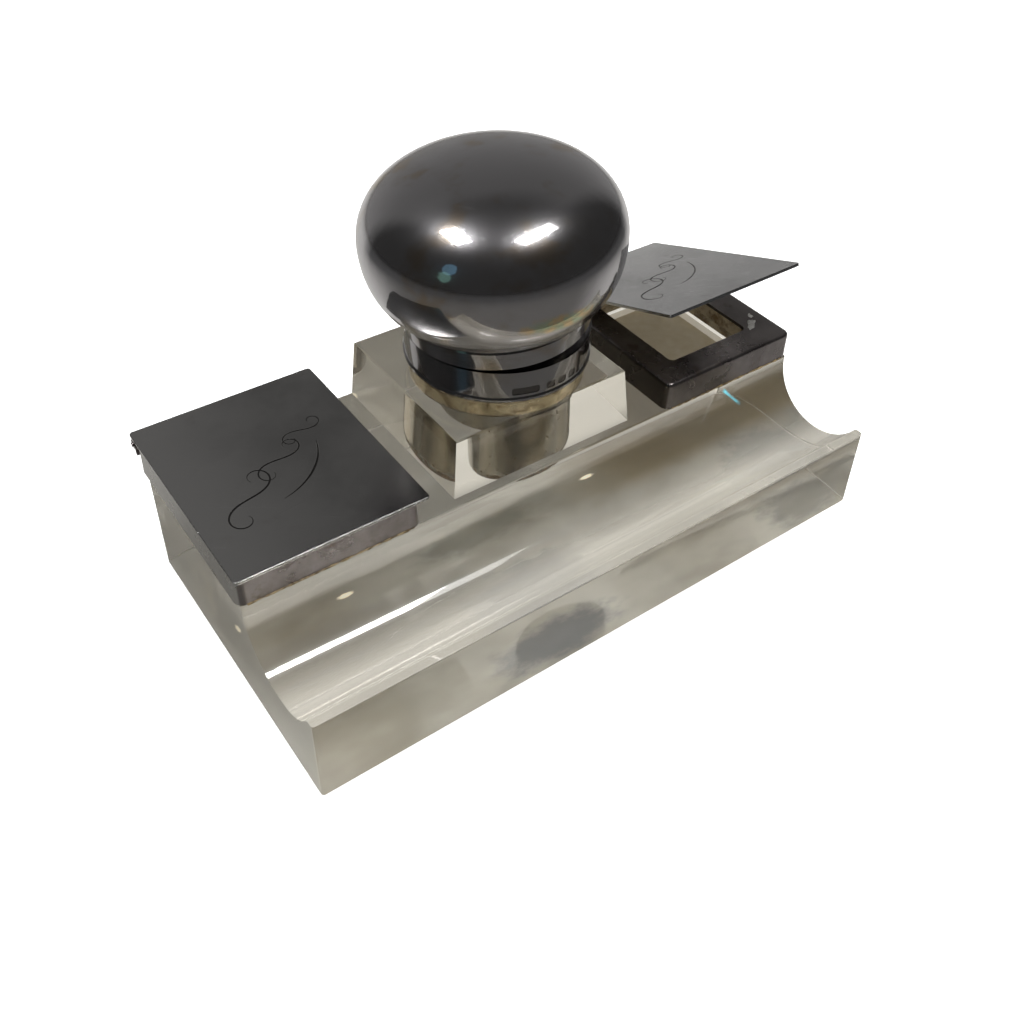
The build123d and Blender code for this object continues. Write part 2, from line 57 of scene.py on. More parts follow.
# ---- sizes of the glass and the collar, as modelled ----
BLOCK_TOP = 29.0 * MM
WELL_RADIUS = 13.7 * MM
WELL_FLOOR = 20.6 * MM
NECK_RADIUS = 20.4 * MM
NECK_FOOT = 43.5 * MM
STAMP_FLOOR = 27.0 * MM
STAMP_WELL_INNER = 42.0 * MM        # nearest to the middle of the block
STAMP_WELL_OUTER = 68.0 * MM
STAMP_WELL_FRONT = -16.0 * MM       # from the ink well's axis
COLLAR_RADIUS = 20.95 * MM

# ---- marks on the glass and the lid: dark patches, painted glints and tarnish ----
FRONT_DARK_PATCH = (-14 * MM, -25 * MM, 0.0)
RIGHT_DARK_PATCH = (67 * MM, -21 * MM, 0.0)
BACK_DARK_PATCH = (-13 * MM, 9 * MM, 0.0)
PAINTED_GOLD_GLINTS = ((-49.6 * MM, 9.3 * MM, 0.0), (20.8 * MM, 11.9 * MM, 0.0))
CRACK_TOP = Vector((54.1, -9.8, 27.6)) * MM
CRACK_FOOT = Vector((60.6, -12.1, 21.2)) * MM
TARNISH_PATCH = (-3.4 * MM, -14.3 * MM, 71.0 * MM)

# ---- beads of cement ----
BEAD_SIDES = 8
COLLAR_BEAD_POINTS = 72
COLLAR_BEAD_RADIUS = 20.45 * MM
FRAME_BEAD_POINTS = 46

# ---- camera ----
VIEW_TURN = math.radians(37.77)
VIEW_DROP = math.radians(44.16)
VIEW_ROLL = math.radians(2.81)
VIEW_DISTANCE = 208.6 * MM
VIEW_TARGET = Vector((-23.6, -26.5, 40.0)) * MM
LENS = 36.5
SENSOR = 36.0

# ---- room, in metres ----
FLOOR_SIZE = 6.0
FLOOR_HEIGHT = -0.02 * MM
TABLE_NEAR = 0.10                   # the table's light falls off between these distances
TABLE_FAR = 0.36
AWAY_FROM_CAMERA = (0.61, 0.79, 0.0)
TOWARD_CAMERA = (-0.61, -0.79, 0.0)
WALL_HEADING = (math.cos(math.radians(65)), math.sin(math.radians(65)), 0.0)
WINDOW_DISTANCE = 1.1
INK_LID_HEIGHT = 0.08


# ---- shader helpers ----

class Nodes:
    """Short calls for building one node tree."""

    def __init__(self, tree):
        self.tree = tree
        tree.nodes.clear()

    def add(self, kind, **settings):
        node = self.tree.nodes.new(kind)
        for key, value in settings.items():
            setattr(node, key, value)
        return node

    def put(self, socket, value):
        """Links a socket to another socket, or sets its plain value."""
        if isinstance(value, bpy.types.NodeSocket):
            self.tree.links.new(value, socket)
        elif isinstance(value, (tuple, list)) and len(value) == 3 and socket.type == "RGBA":
            socket.default_value = (*value, 1.0)
        else:
            socket.default_value = value

    def fill(self, kind, *values, **settings):
        """Adds a node and puts the values in its first sockets."""
        node = self.add(kind, **settings)
        for socket, value in zip(node.inputs, values):
            self.put(socket, value)
        return node

    def math(self, operation, a, b=0.0):
        return self.fill("ShaderNodeMath", a, b, operation=operation).outputs[0]

    def times(self, a, b):
        return self.math("MULTIPLY", a, b)

    def plus(self, a, b):
        return self.math("ADD", a, b)

    def vector(self, operation, a, b=(0.0, 0.0, 0.0)):
        return self.fill("ShaderNodeVectorMath", a, b, operation=operation).outputs["Vector"]

    def length(self, a):
        return self.fill("ShaderNodeVectorMath", a, operation="LENGTH").outputs["Value"]

    def dot(self, a, b):
        return self.fill("ShaderNodeVectorMath", a, b, operation="DOT_PRODUCT").outputs["Value"]

    def split(self, vector):
        return tuple(self.fill("ShaderNodeSeparateXYZ", vector).outputs)

    def join(self, x, y, z):
        return self.fill("ShaderNodeCombineXYZ", x, y, z).outputs[0]

    def step(self, value, low, high):
        """0 below low, 1 above high, smooth between. high may be the smaller one."""
        node = self.add("ShaderNodeMapRange", interpolation_type="SMOOTHSTEP")
        for name, setting in (("Value", value), ("From Min", low), ("From Max", high)):
            self.put(node.inputs[name], setting)
        return node.outputs["Result"]

    def mix(self, factor, a, b):
        node = self.add("ShaderNodeMix", data_type="RGBA")
        for index, value in ((0, factor), (6, a), (7, b)):
            self.put(node.inputs[index], value)
        return node.outputs[2]

    def blend(self, factor, a, b):
        return self.fill("ShaderNodeMixShader", factor, a, b).outputs[0]

    def both(self, a, b):
        return self.fill("ShaderNodeAddShader", a, b).outputs[0]

    def noise(self, scale, detail=3.0, roughness=0.55, vector=None, stretch=None):
        """Noise of the piece's own space; scale is in bumps per metre."""
        place = vector or self.place()
        if stretch:
            place = self.vector("MULTIPLY", place, stretch)
        node = self.add("ShaderNodeTexNoise")
        self.put(node.inputs["Vector"], place)
        self.put(node.inputs["Scale"], scale)
        self.put(node.inputs["Detail"], detail)
        self.put(node.inputs["Roughness"], roughness)
        return node.outputs["Fac"]

    def place(self):
        return self.add("ShaderNodeTexCoord").outputs["Object"]

    def geometry(self, name):
        return self.add("ShaderNodeNewGeometry").outputs[name]

    def ray(self, name):
        return self.add("ShaderNodeLightPath").outputs[name]

    def bump(self, height, distance, strength=1.0, normal=None):
        node = self.add("ShaderNodeBump")
        self.put(node.inputs["Height"], height)
        self.put(node.inputs["Distance"], distance)
        self.put(node.inputs["Strength"], strength)
        if normal is not None:
            self.put(node.inputs["Normal"], normal)
        return node.outputs["Normal"]

    def surface(self, **values):
        """Principled surface; names have _ for a space."""
        node = self.add("ShaderNodeBsdfPrincipled")
        for name, value in values.items():
            self.put(node.inputs[name.replace("_", " ")], value)
        return node.outputs[0]


def new_material(name):
    material = bpy.data.materials.new(name)
    material.use_nodes = True
    nodes = Nodes(material.node_tree)
    output = nodes.add("ShaderNodeOutputMaterial")
    return material, nodes, output


def shaded(colour, amount):
    return tuple(amount * channel for channel in colour)


def patch(nodes, centre, radius, stretch, noise_scale):
    """Ragged round patch about a point: 1 in its middle, 0 outside."""
    away = nodes.vector("MULTIPLY", nodes.vector("SUBTRACT", nodes.place(), centre), stretch)
    ragged = nodes.times(nodes.math("SUBTRACT", nodes.noise(noise_scale, 4.0, 0.65), 0.5), radius)
    reach = nodes.plus(nodes.length(away), ragged)
    return nodes.step(reach, radius, 0.45 * radius)


def scratches(nodes, scale, turn, thin):
    """Fine straight scratches: bright lines of very stretched noise, turned about Z."""
    c, s = math.cos(turn), math.sin(turn)
    place = nodes.place()
    along = nodes.dot(place, (c, s, 0.0))
    side = nodes.dot(place, (-s, c, 0.0))
    height = nodes.dot(place, (0.0, 0.0, 1.0))
    stretched = nodes.join(nodes.times(along, 0.04), side, height)
    lines = nodes.noise(scale, 2.0, 0.5, vector=stretched)
    return nodes.step(lines, thin, thin + 0.1)


def edge_wear(nodes, radius, evenness):
    """Where the surface turns within a short distance. Noise breaks it up unless evenness is 1."""
    bevel = nodes.add("ShaderNodeBevel", samples=4)
    nodes.put(bevel.inputs["Radius"], radius)
    turned = nodes.dot(bevel.outputs[0], nodes.geometry("Normal"))
    wear = nodes.step(turned, 0.995, 0.93)
    broken = nodes.math("MAXIMUM", nodes.step(nodes.noise(300.0, 3.0), 0.35, 0.6), evenness)
    return nodes.times(wear, broken)


# ---- glass ----

def in_well(nodes, radius, height):
    """1 on the wall and floor of the ink well."""
    near_axis = nodes.step(radius, WELL_RADIUS + 0.3 * MM, WELL_RADIUS + 0.1 * MM)
    return nodes.times(near_axis, nodes.step(height, WELL_FLOOR - 0.6 * MM, WELL_FLOOR - 0.2 * MM))


def add_well_film(nodes, clear, inside, ripple):
    """Bronze film that ink has left on the well. Its dark tone is also painted shade of the closed well, and
    its bright upright streaks are painted highlights.
    """
    # Painted highlights: bright upright streaks in the bronze.
    painted_highlight_streak = nodes.step(nodes.noise(130.0, 2.0, 0.5, stretch=(1.0, 1.0, 0.12)), 0.30, 0.72)
    bronze = nodes.mix(painted_highlight_streak, (0.075, 0.06, 0.038), (0.42, 0.36, 0.25))
    film = nodes.surface(Base_Color=bronze, Metallic=1.0, Roughness=0.14, Normal=ripple)
    return nodes.blend(nodes.times(inside, 0.82), clear, film)


def add_neck_painted_gold(nodes, clear, radius, height):
    """Painted reflection on the glass neck: gold metal stands in for the well's golden wall seen through the
    glass. It is brown in spots.
    """
    outside = nodes.step(radius, NECK_RADIUS - 0.4 * MM, NECK_RADIUS - 0.2 * MM)
    on_neck = nodes.times(outside, nodes.step(height, NECK_FOOT, NECK_FOOT + 0.4 * MM))
    brown_spots = nodes.step(nodes.noise(500.0, 4.0, 0.65), 0.45, 0.66)
    neck_gold = nodes.mix(brown_spots, (0.74, 0.62, 0.40), (0.33, 0.23, 0.11))
    neck_gold_surface = nodes.surface(Base_Color=neck_gold, Metallic=1.0, Roughness=0.2)
    return nodes.blend(nodes.times(on_neck, 0.75), clear, neck_gold_surface)


def add_ink_specks(nodes, clear, inside, height):
    """Brown specks of dried ink, thickest at the bottom of the well."""
    low = nodes.step(height, WELL_FLOOR + 5 * MM, WELL_FLOOR)
    level = nodes.plus(nodes.noise(700.0, 4.0, 0.7), nodes.times(low, 0.30))
    ink = nodes.times(nodes.step(level, 0.61, 0.70), inside)
    return nodes.blend(ink, clear, nodes.surface(Base_Color=(0.13, 0.08, 0.035), Roughness=0.6))


def add_stamp_film(nodes, clear, behind_axis, height):
    """Brown film of old gum on the floor and walls of the stamp wells. It glows faintly as painted light,
    since the wells lie in shade under the lids.
    """
    across = nodes.math("ABSOLUTE", nodes.dot(nodes.place(), (1.0, 0.0, 0.0)))
    inside = nodes.step(across, STAMP_WELL_INNER - 1 * MM, STAMP_WELL_INNER)
    for value, low, high in (
        (across, STAMP_WELL_OUTER + 1 * MM, STAMP_WELL_OUTER),
        (height, STAMP_FLOOR - 0.3 * MM, STAMP_FLOOR - 0.1 * MM),
        (height, BLOCK_TOP + 0.1 * MM, BLOCK_TOP - 0.1 * MM),
        (behind_axis, STAMP_WELL_FRONT - 1 * MM, STAMP_WELL_FRONT),
    ):
        inside = nodes.times(inside, nodes.step(value, low, high))
    gum = nodes.mix(nodes.noise(300.0, 4.0, 0.6), (0.46, 0.37, 0.22), (0.64, 0.54, 0.36))
    # Painted light: the gum glows faintly to lift the shaded wells.
    film = nodes.surface(Base_Color=gum, Roughness=0.7, Emission_Color=gum, Emission_Strength=0.16)
    return nodes.blend(nodes.times(inside, 0.65), clear, film)


def underside_colour(nodes):
    """Cloudy grey, browner toward the corners, with dark patches; the underside also glows in this colour as
    painted light. Seen from the ends it is paler, as painted light.
    """
    cloud = nodes.step(nodes.noise(26.0, 3.0, 0.55), 0.36, 0.64)
    dull = nodes.mix(cloud, (0.34, 0.325, 0.28), (0.48, 0.465, 0.415))
    x, y, _ = nodes.split(nodes.place())
    back_right = nodes.times(nodes.step(x, 5 * MM, 35 * MM), nodes.step(y, -12 * MM, 2 * MM))
    dull = nodes.mix(nodes.times(back_right, 0.8), dull, (0.19, 0.155, 0.10))
    left_end = nodes.step(x, -45 * MM, -66 * MM)
    dull = nodes.mix(nodes.times(left_end, 0.15), dull, (0.31, 0.255, 0.18))
    # Darker patches in the underside's colour.
    for centre, radius, stretch, depth, colour in (
        (FRONT_DARK_PATCH, 17 * MM, (0.8, 1.1, 1.0), 0.75, (0.15, 0.16, 0.18)),
        (RIGHT_DARK_PATCH, 19 * MM, (1.1, 0.9, 1.0), 0.6, (0.19, 0.195, 0.195)),
        (BACK_DARK_PATCH, 13 * MM, (0.6, 1.3, 1.0), 0.55, (0.20, 0.20, 0.17)),
    ):
        dark_patch = nodes.times(patch(nodes, centre, radius, stretch, 160.0), depth)
        dull = nodes.mix(dark_patch, dull, colour)
    # Painted light: paler where it is seen through the ends of the block.
    endways = nodes.math("ABSOLUTE", nodes.dot(nodes.geometry("Incoming"), (1.0, 0.0, 0.0)))
    return nodes.mix(nodes.times(nodes.step(endways, 0.50, 0.68), 0.45), dull, (0.74, 0.74, 0.72))


def add_ground_underside(nodes, clear, height):
    """Ground glass: dull at a slant, and seen through to the table from steeply above. It glows faintly in
    its own colour as painted light, and its painted gold glints glow brighter.
    """
    dull = underside_colour(nodes)
    gold_glints = 0.0
    # Painted gold glints on the underside.
    for centre in PAINTED_GOLD_GLINTS:
        gold_glints = nodes.math("MAXIMUM", patch(nodes, centre, 2.1 * MM, (0.8, 1.2, 1.0), 900.0), gold_glints)
    dull = nodes.mix(gold_glints, dull, (1.0, 0.92, 0.72))
    # Painted light: the underside glows faintly in its own colour, the glints brighter.
    glow = nodes.plus(nodes.times(gold_glints, 0.5), 0.22)
    ground = nodes.surface(
        Base_Color=dull, Roughness=0.9, Specular_IOR_Level=0.1, Emission_Color=dull, Emission_Strength=glow,
    )
    slant = nodes.add("ShaderNodeLayerWeight").outputs["Facing"]
    steep = nodes.step(slant, 0.30, 0.05)
    frosting = nodes.math("SUBTRACT", 0.85, nodes.times(steep, 0.55))
    underside = nodes.step(height, 0.25 * MM, 0.15 * MM)
    return nodes.blend(nodes.times(underside, frosting), clear, ground)


def add_crack_glint(nodes, clear):
    """Thin painted teal glint, glowing along a crack in the trough's back wall."""
    along = (CRACK_FOOT - CRACK_TOP).normalized()
    length = (CRACK_FOOT - CRACK_TOP).length
    offset = nodes.vector("SUBTRACT", nodes.place(), tuple(CRACK_TOP))
    aside = nodes.length(nodes.vector("CROSS_PRODUCT", offset, tuple(along)))
    travel = nodes.dot(offset, tuple(along))
    ends = nodes.times(nodes.step(travel, 0.0, 2 * MM), nodes.step(travel, length, length - 4 * MM))
    line = nodes.times(ends, nodes.step(aside, 0.7 * MM, 0.25 * MM))
    glint = nodes.surface(
        Base_Color=(0.1, 0.5, 0.6), Roughness=0.3, Emission_Color=(0.25, 0.80, 0.95), Emission_Strength=0.55,
    )
    return nodes.blend(line, clear, glint)


def glass_material():
    """Faintly rippled glass with its films and stains, and with painted reflection, glints and glow."""
    material, nodes, output = new_material("clear_glass")
    ripple = nodes.bump(nodes.noise(60.0, 2.0), 0.00003, 0.5)
    glass = nodes.add("ShaderNodeBsdfGlass")
    nodes.put(glass.inputs["Color"], (0.985, 0.98, 0.965))
    nodes.put(glass.inputs["Roughness"], 0.0)
    nodes.put(glass.inputs["IOR"], 1.52)
    nodes.put(glass.inputs["Normal"], ripple)
    from_axis = nodes.vector("SUBTRACT", nodes.place(), (WELL_AXIS.x, WELL_AXIS.y, 0.0))
    beside_axis, behind_axis, height = nodes.split(from_axis)
    radius = nodes.length(nodes.join(beside_axis, behind_axis, 0.0))
    inside = in_well(nodes, radius, height)
    clear = add_well_film(nodes, glass.outputs[0], inside, ripple)
    # Painted reflection: gold on the glass neck.
    clear = add_neck_painted_gold(nodes, clear, radius, height)
    clear = add_ink_specks(nodes, clear, inside, height)
    clear = add_stamp_film(nodes, clear, behind_axis, height)
    clear = add_ground_underside(nodes, clear, height)
    clear = add_crack_glint(nodes, clear)
    sheen = nodes.add("ShaderNodeBsdfGlossy")
    nodes.put(sheen.inputs["Roughness"], 0.16)
    clear = nodes.blend(0.025, clear, sheen.outputs[0])
    shadow = nodes.fill("ShaderNodeBsdfTransparent", (0.12, 0.118, 0.11))
    nodes.put(output.inputs["Surface"], nodes.blend(nodes.ray("Is Shadow Ray"), clear, shadow.outputs[0]))
    absorb = nodes.add("ShaderNodeVolumeAbsorption")
    nodes.put(absorb.inputs["Color"], (0.80, 0.77, 0.66))
    nodes.put(absorb.inputs["Density"], 5.0)
    nodes.put(output.inputs["Volume"], absorb.outputs[0])
    return material


# ---- metal ----

def punch_floor(nodes):
    """1 on the sunk floors of the collar's punch marks."""
    offset = nodes.vector("SUBTRACT", nodes.place(), (WELL_AXIS.x, WELL_AXIS.y, 0.0))
    radius = nodes.length(nodes.vector("MULTIPLY", offset, (1.0, 1.0, 0.0)))
    wall = COLLAR_RADIUS - 0.5 * MM
    outer = nodes.step(radius, wall + 0.46 * MM, wall + 0.42 * MM)
    return nodes.times(nodes.step(radius, wall, wall + 0.1 * MM), outer)


def polished_silver(name, shade, punched):
    """Smooth dark mirror, slightly hazy, with coloured tarnish and hair scratches."""
    material, nodes, output = new_material(name)
    patches = nodes.step(nodes.noise(55.0, 4.0, 0.6), 0.48, 0.70)
    warm = nodes.step(nodes.noise(110.0, 3.0, 0.6), 0.52, 0.66)
    colour = nodes.mix(patches, shaded((0.42, 0.41, 0.42), shade), shaded((0.36, 0.345, 0.34), shade))
    brown = nodes.times(nodes.times(warm, patches), 0.6)
    colour = nodes.mix(brown, colour, shaded((0.36, 0.28, 0.19), shade))
    orange_to_green = nodes.step(nodes.noise(420.0, 3.0), 0.42, 0.58)
    tarnish = nodes.mix(orange_to_green, (0.62, 0.40, 0.10), (0.30, 0.42, 0.20))
    coloured = patch(nodes, TARNISH_PATCH, 6 * MM, (0.5, 0.8, 2.2), 420.0)
    colour = nodes.mix(nodes.times(coloured, 0.55), colour, tarnish)
    if punched:
        colour = nodes.mix(nodes.times(punch_floor(nodes), 0.7), colour, (0.04, 0.032, 0.025))
    fine = nodes.plus(scratches(nodes, 2600.0, 0.5, 0.68), scratches(nodes, 2200.0, 2.1, 0.70))
    roughness = nodes.plus(nodes.times(patches, 0.03), 0.055)
    roughness = nodes.plus(roughness, nodes.times(fine, 0.10))
    dents = nodes.bump(nodes.noise(70.0, 1.0), 0.00010, 0.5)
    normal = nodes.bump(fine, -0.000006, 0.6, dents)
    sharp = nodes.surface(Base_Color=colour, Metallic=1.0, Roughness=roughness, Normal=normal)
    hazy = nodes.surface(Base_Color=colour, Metallic=1.0, Roughness=0.27, Normal=normal)
    nodes.put(output.inputs["Surface"], nodes.blend(0.24, sharp, hazy))
    return material


def engraving(nodes, hinge):
    """1 just below the lid's top face, where the scroll is cut. The face tilts by the lid's rest angle."""
    tilt = math.radians(-hinge["range_deg"][0])
    up = (0.0, math.sin(tilt), math.cos(tilt))
    rise = nodes.dot(nodes.vector("SUBTRACT", nodes.place(), tuple(hinge["pos_m"])), up)
    below_face = nodes.step(rise, LID_FACE - 0.02 * MM, LID_FACE - 0.07 * MM)
    return nodes.times(below_face, nodes.step(rise, LID_FACE - 0.16 * MM, LID_FACE - 0.13 * MM))


def lid_silver(name, colour, joint):
    """Dull scratched plate with dark engraving, a paler left side and a bright front edge."""
    material, nodes, output = new_material(name)
    cloud = nodes.noise(38.0, 4.0, 0.6)
    tone = nodes.mix(nodes.step(cloud, 0.35, 0.68), colour, shaded(colour, 0.72))
    brown = nodes.step(nodes.noise(240.0, 4.0, 0.6), 0.60, 0.78)
    tone = nodes.mix(nodes.times(brown, 0.4), tone, (0.16, 0.13, 0.12))
    x, y, _ = nodes.split(nodes.place())
    pale_side = nodes.step(x, -45 * MM, -78 * MM)
    tone = nodes.mix(nodes.times(pale_side, 0.6), tone, shaded(colour, 1.7))
    front = nodes.step(y, LEFT_LID_LOW.y + 0.6 * MM, LEFT_LID_LOW.y + 0.3 * MM)
    edge = edge_wear(nodes, 0.22 * MM, front)
    tone = nodes.mix(nodes.times(edge, 0.75), tone, (0.74, 0.73, 0.70))
    tone = nodes.mix(nodes.times(engraving(nodes, HINGES[joint]), 0.85), tone, (0.03, 0.028, 0.026))
    fine = nodes.plus(scratches(nodes, 2400.0, 0.9, 0.62), scratches(nodes, 2000.0, 2.5, 0.64))
    fine = nodes.plus(fine, scratches(nodes, 1700.0, 0.1, 0.66))
    roughness = nodes.plus(nodes.times(cloud, 0.14), 0.14)
    normal = nodes.bump(nodes.noise(28.0, 1.0), 0.00018, 0.5)
    normal = nodes.bump(fine, -0.000012, 0.7, normal)
    surface = nodes.surface(Base_Color=tone, Metallic=1.0, Roughness=roughness, Normal=normal)
    nodes.put(output.inputs["Surface"], surface)
    return material


def tarnished_silver():
    """Brown-purple oxidised sheet, rubbed bright along its edges. The right frame is the darker one."""
    material, nodes, output = new_material("tarnished_silver")
    cloud = nodes.step(nodes.noise(60.0, 5.0, 0.62), 0.36, 0.66)
    colour = nodes.mix(cloud, (0.17, 0.15, 0.15), (0.29, 0.265, 0.262))
    brown = nodes.step(nodes.noise(170.0, 4.0, 0.6), 0.56, 0.72)
    colour = nodes.mix(nodes.times(brown, 0.6), colour, (0.12, 0.085, 0.06))
    colour = nodes.mix(nodes.times(edge_wear(nodes, 0.35 * MM, 0.0), 0.8), colour, (0.55, 0.53, 0.52))
    left_side = nodes.step(nodes.dot(nodes.geometry("Normal"), (-1.0, 0.0, 0.0)), 0.6, 0.8)
    left_frame = nodes.step(nodes.dot(nodes.place(), (-1.0, 0.0, 0.0)), 0.0, 1.0 * MM)
    rubbed = nodes.times(left_side, left_frame)
    colour = nodes.mix(nodes.times(rubbed, 0.85), colour, (0.66, 0.65, 0.62))
    right_frame = nodes.math("SUBTRACT", 1.0, left_frame)
    colour = nodes.mix(nodes.times(right_frame, 0.4), colour, (0.05, 0.045, 0.038))
    colour = nodes.mix(nodes.times(left_side, right_frame), colour, (0.06, 0.052, 0.045))
    roughness = nodes.plus(nodes.times(nodes.noise(120.0, 4.0), 0.25), 0.16)
    normal = nodes.bump(scratches(nodes, 2300.0, 0.3, 0.64), -0.00001, 0.6)
    surface = nodes.surface(Base_Color=colour, Metallic=0.95, Roughness=roughness, Normal=normal)
    nodes.put(output.inputs["Surface"], surface)
    return material


def hinge_silver():
    """Cloudy tarnished metal of the hinge barrels and pins."""
    material, nodes, output = new_material("hinge_silver")
    cloud = nodes.step(nodes.noise(400.0, 4.0), 0.4, 0.65)
    colour = nodes.mix(cloud, (0.20, 0.18, 0.18), (0.36, 0.34, 0.33))
    roughness = nodes.plus(nodes.times(cloud, 0.15), 0.2)
    surface = nodes.surface(Base_Color=colour, Metallic=0.95, Roughness=roughness)
    nodes.put(output.inputs["Surface"], surface)
    return material


# ---- cement, glue and plaster ----

def dried_cement():
    """Golden-brown lacquer and cement that has squeezed out under the metal."""
    material, nodes, output = new_material("dried_cement")
    stain = nodes.step(nodes.noise(700.0, 4.0, 0.6), 0.40, 0.62)
    colour = nodes.mix(stain, (0.42, 0.31, 0.16), (0.12, 0.075, 0.03))
    normal = nodes.bump(nodes.noise(1800.0, 4.0), 0.00006, 0.7)
    nodes.put(output.inputs["Surface"], nodes.surface(Base_Color=colour, Roughness=0.35, Normal=normal))
    return material


def white_glue():
    """Gritty white glue."""
    material, nodes, output = new_material("white_glue")
    grit = nodes.noise(1400.0, 4.0, 0.7)
    colour = nodes.mix(nodes.step(grit, 0.45, 0.7), (0.70, 0.69, 0.66), (0.40, 0.38, 0.35))
    normal = nodes.bump(grit, 0.00006, 0.7)
    nodes.put(output.inputs["Surface"], nodes.surface(Base_Color=colour, Roughness=0.6, Normal=normal))
    return material


def plaster_material():
    """Gritty plaster, stained brown where metal and ink have marked it."""
    material, nodes, output = new_material("plaster")
    grit = nodes.noise(1500.0, 5.0, 0.7)
    stain = nodes.step(nodes.noise(220.0, 5.0, 0.65), 0.42, 0.62)
    colour = nodes.mix(stain, (0.55, 0.48, 0.36), (0.22, 0.15, 0.07))
    dark_grit = nodes.times(nodes.step(grit, 0.58, 0.7), 0.5)
    colour = nodes.mix(dark_grit, colour, (0.05, 0.035, 0.02))
    normal = nodes.bump(grit, 0.00012, 0.8)
    nodes.put(output.inputs["Surface"], nodes.surface(Base_Color=colour, Roughness=0.75, Normal=normal))
    return material


# ---- materials onto the CAD pieces ----

def assign(material, *names):
    for name in names:
        for slot in frame["nodes"][name].material_slots:
            slot.link = "OBJECT"
            slot.material = material


def finish_nodes():
    hinge = hinge_silver()
    assign(glass_material(), "glass_block")
    assign(polished_silver("polished_silver", shade=1.0, punched=False), "ink_lid_dome")
    assign(polished_silver("band_silver", shade=0.78, punched=False), "ink_lid_band", "ink_lid_liner")
    assign(polished_silver("collar_silver", shade=0.65, punched=True), "ink_collar")
    assign(hinge, "ink_collar_knuckles", "ink_lid_knuckle", "ink_hinge_pin")
    assign(plaster_material(), "ink_collar_cement", "left_frame_bedding", "right_frame_bedding")
    assign(tarnished_silver(), "left_frame", "right_frame")
    for side, colour in (("left", (0.35, 0.345, 0.34)), ("right", (0.56, 0.56, 0.565))):
        assign(hinge, side + "_frame_knuckles", side + "_hinge_pin", side + "_lid_knuckles")
        assign(lid_silver(side + "_lid_silver", colour, side + "_lid_hinge"), side + "_stamp_lid")


# ---- small pieces that CAD leaves out ----

def finish_piece(name, mesh, material):
    """Puts a piece of cement or glue on the base."""
    mesh.materials.append(material)
    for face in mesh.polygons:
        face.use_smooth = True
    piece = bpy.data.objects.new(name, mesh)
    bpy.context.scene.collection.objects.link(piece)
    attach(piece, "base")


def bead_ring(shape, point, side, size):
    """Round of points about a place on a bead's path."""
    ring = []
    for corner in range(BEAD_SIDES):
        angle = 2 * math.pi * corner / BEAD_SIDES
        outward = math.cos(angle) * side + Vector((0.0, 0.0, math.sin(angle)))
        ring.append(shape.verts.new(point + size * outward))
    return ring


def bead(name, path, closed, radius, unevenness, seed, material):
    """Uneven bead of dried cement along a path."""
    chance = random.Random(seed)
    mesh = bpy.data.meshes.new(name)
    shape = bmesh.new()
    count = len(path)
    rings = []
    for index, point in enumerate(path):
        before = path[index - 1] if closed or index else point
        after = path[(index + 1) % count] if closed or index + 1 < count else point
        along = (after - before).normalized()
        side = along.cross(Vector((0.0, 0.0, 1.0))).normalized()
        size = radius * (1 + unevenness * (2 * chance.random() - 1))
        rings.append(bead_ring(shape, point, side, size))
    pairs = list(zip(rings, rings[1:]))
    if closed:
        pairs.append((rings[-1], rings[0]))
    for first, second in pairs:
        for corner in range(BEAD_SIDES):
            following = (corner + 1) % BEAD_SIDES
            shape.faces.new((first[corner], first[following], second[following], second[corner]))
    if not closed:
        shape.faces.new(list(reversed(rings[0])))
        shape.faces.new(rings[-1])
    bmesh.ops.recalc_face_normals(shape, faces=shape.faces)
    shape.to_mesh(mesh)
    shape.free()
    finish_piece(name, mesh, material)


def smear(name, centre, half_x, half_y, height, turn, seed, material):
    """Low uneven blob of dried glue."""
    chance = random.Random(seed)
    mesh = bpy.data.meshes.new(name)
    shape = bmesh.new()
    bmesh.ops.create_icosphere(shape, subdivisions=3, radius=1.0)
    waves = [(chance.uniform(1, 6), chance.uniform(0, 6.28), chance.uniform(0.05, 0.16)) for _ in range(6)]
    for vertex in shape.verts:
        angle = math.atan2(vertex.co.y, vertex.co.x)
        swell = 1 + sum(size * math.sin(round(turns) * angle + start) for turns, start, size in waves)
        x = vertex.co.x * half_x * swell
        y = vertex.co.y * half_y * swell
        vertex.co = centre + Vector((
            x * math.cos(turn) - y * math.sin(turn),
            x * math.sin(turn) + y * math.cos(turn),
            vertex.co.z * height,
        ))
    shape.to_mesh(mesh)
    shape.free()
    finish_piece(name, mesh, material)


def straight_path(start, end, count, wander, seed):
    chance = random.Random(seed)
    path = []
    for index in range(count):
        point = start.lerp(end, index / (count - 1))
        path.append(point + Vector((0.0, chance.uniform(-wander, wander), 0.0)))
    return path


def ring_path(centre, radius, count):
    path = []
    for index in range(count):
        angle = 2 * math.pi * index / count
        path.append(centre + radius * Vector((math.cos(angle), math.sin(angle), 0.0)))
    return path


